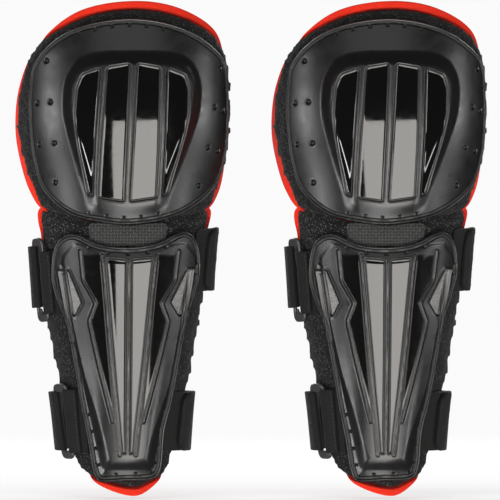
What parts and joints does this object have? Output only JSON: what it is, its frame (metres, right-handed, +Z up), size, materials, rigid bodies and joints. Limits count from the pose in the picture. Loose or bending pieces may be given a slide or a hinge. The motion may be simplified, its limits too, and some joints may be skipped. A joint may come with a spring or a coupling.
{
  "type": "knee guards",
  "caption": "Pair of off-road knee and shin guards: moulded knee cups and shin plates sewn on padded, lined sleeves, with elastic straps that pass through plastic loops.",
  "frame": {"origin": "between the wearer's two legs, at the height where the guards bend, on the legs' axes", "axes": "+Z up the leg, -Y to the front of the guards, +X to the viewer's right"},
  "size_m": [0.4013, 0.1564, 0.4188],
  "materials": {
    "shell_plastic": "semi-gloss black moulded plastic",
    "insert_plastic": "light grey with fine moulded ribs",
    "mesh_fabric": "black knitted mesh with pale flecks",
    "stretch_mesh": "black stretch mesh, open knit",
    "woven_patch": "dark grey woven",
    "red_lining": "bright orange-red brushed lining",
    "foam": "grey closed-cell foam",
    "elastic_web": "black ribbed elastic webbing",
    "loop_plastic": "satin dark grey plastic",
    "hook_tape": "black hook tape"
  },
  "bodies": {
    "shins": {"left_flex_lining": "red_lining", "left_flex_bridge": "stretch_mesh", "left_bridge_patch": "woven_patch", "left_shin_liner": "red_lining", "left_shin_foam": "foam", "left_shin_cover": "mesh_fabric", "left_shin_shell": "shell_plastic", "left_shin_insert_inner": "insert_plastic", "left_shin_insert_outer": "insert_plastic", "left_upper_keeper": "elastic_web", "left_upper_loop": "loop_plastic", "left_upper_strap": "elastic_web", "left_upper_return": "elastic_web", "left_lower_keeper": "elastic_web", "left_lower_loop": "loop_plastic", "left_lower_strap": "elastic_web", "left_lower_return": "elastic_web", "right_flex_lining": "red_lining", "right_flex_bridge": "stretch_mesh", "right_bridge_patch": "woven_patch", "right_shin_liner": "red_lining", "right_shin_foam": "foam", "right_shin_cover": "mesh_fabric", "right_shin_shell": "shell_plastic", "right_shin_insert_inner": "insert_plastic", "right_shin_insert_outer": "insert_plastic", "right_upper_keeper": "elastic_web", "right_upper_loop": "loop_plastic", "right_upper_strap": "elastic_web", "right_upper_return": "elastic_web", "right_lower_keeper": "elastic_web", "right_lower_loop": "loop_plastic", "right_lower_strap": "elastic_web", "right_lower_return": "elastic_web"},
    "left_knee": {"left_knee_liner": "red_lining", "left_knee_foam": "foam", "left_knee_cover": "mesh_fabric", "left_knee_shell": "shell_plastic"},
    "left_upper_tab": {"left_upper_tab": "elastic_web", "left_upper_hook": "hook_tape"},
    "left_lower_tab": {"left_lower_tab": "elastic_web", "left_lower_hook": "hook_tape"},
    "right_knee": {"right_knee_liner": "red_lining", "right_knee_foam": "foam", "right_knee_cover": "mesh_fabric", "right_knee_shell": "shell_plastic"},
    "right_upper_tab": {"right_upper_tab": "elastic_web", "right_upper_hook": "hook_tape"},
    "right_lower_tab": {"right_lower_tab": "elastic_web", "right_lower_hook": "hook_tape"}
  },
  "joints": [
    {"name": "left_knee_flex", "type": "hinge", "parent": "shins", "child": "left_knee", "pos_m": [-0.114, -0.052, 0], "axis": [-1, 0, 0], "range_deg": [0, 35], "stiffness_Nm_per_rad": 0.35, "deforming": ["left_flex_bridge", "left_flex_lining", "left_bridge_patch"]},
    {"name": "left_upper_peel", "type": "hinge", "parent": "shins", "child": "left_upper_tab", "pos_m": [-0.03565, 0.00852, -0.02026], "axis": [0.1126, 0.0064, 0.9936], "range_deg": [0, 50]},
    {"name": "left_lower_peel", "type": "hinge", "parent": "shins", "child": "left_lower_tab", "pos_m": [-0.05541, 0.00102, -0.158], "axis": [0.1358, 0.0015, 0.9907], "range_deg": [0, 50]},
    {"name": "right_knee_flex", "type": "hinge", "parent": "shins", "child": "right_knee", "pos_m": [0.104, -0.052, 0], "axis": [-1, 0, 0], "range_deg": [0, 35], "stiffness_Nm_per_rad": 0.35, "deforming": ["right_flex_bridge", "right_flex_lining", "right_bridge_patch"]},
    {"name": "right_upper_peel", "type": "hinge", "parent": "shins", "child": "right_upper_tab", "pos_m": [0.18235, 0.00852, -0.02026], "axis": [0.1126, 0.0064, 0.9936], "range_deg": [0, 50]},
    {"name": "right_lower_peel", "type": "hinge", "parent": "shins", "child": "right_lower_tab", "pos_m": [0.16259, 0.00102, -0.158], "axis": [0.1358, 0.0015, 0.9907], "range_deg": [0, 50]}
  ]
}
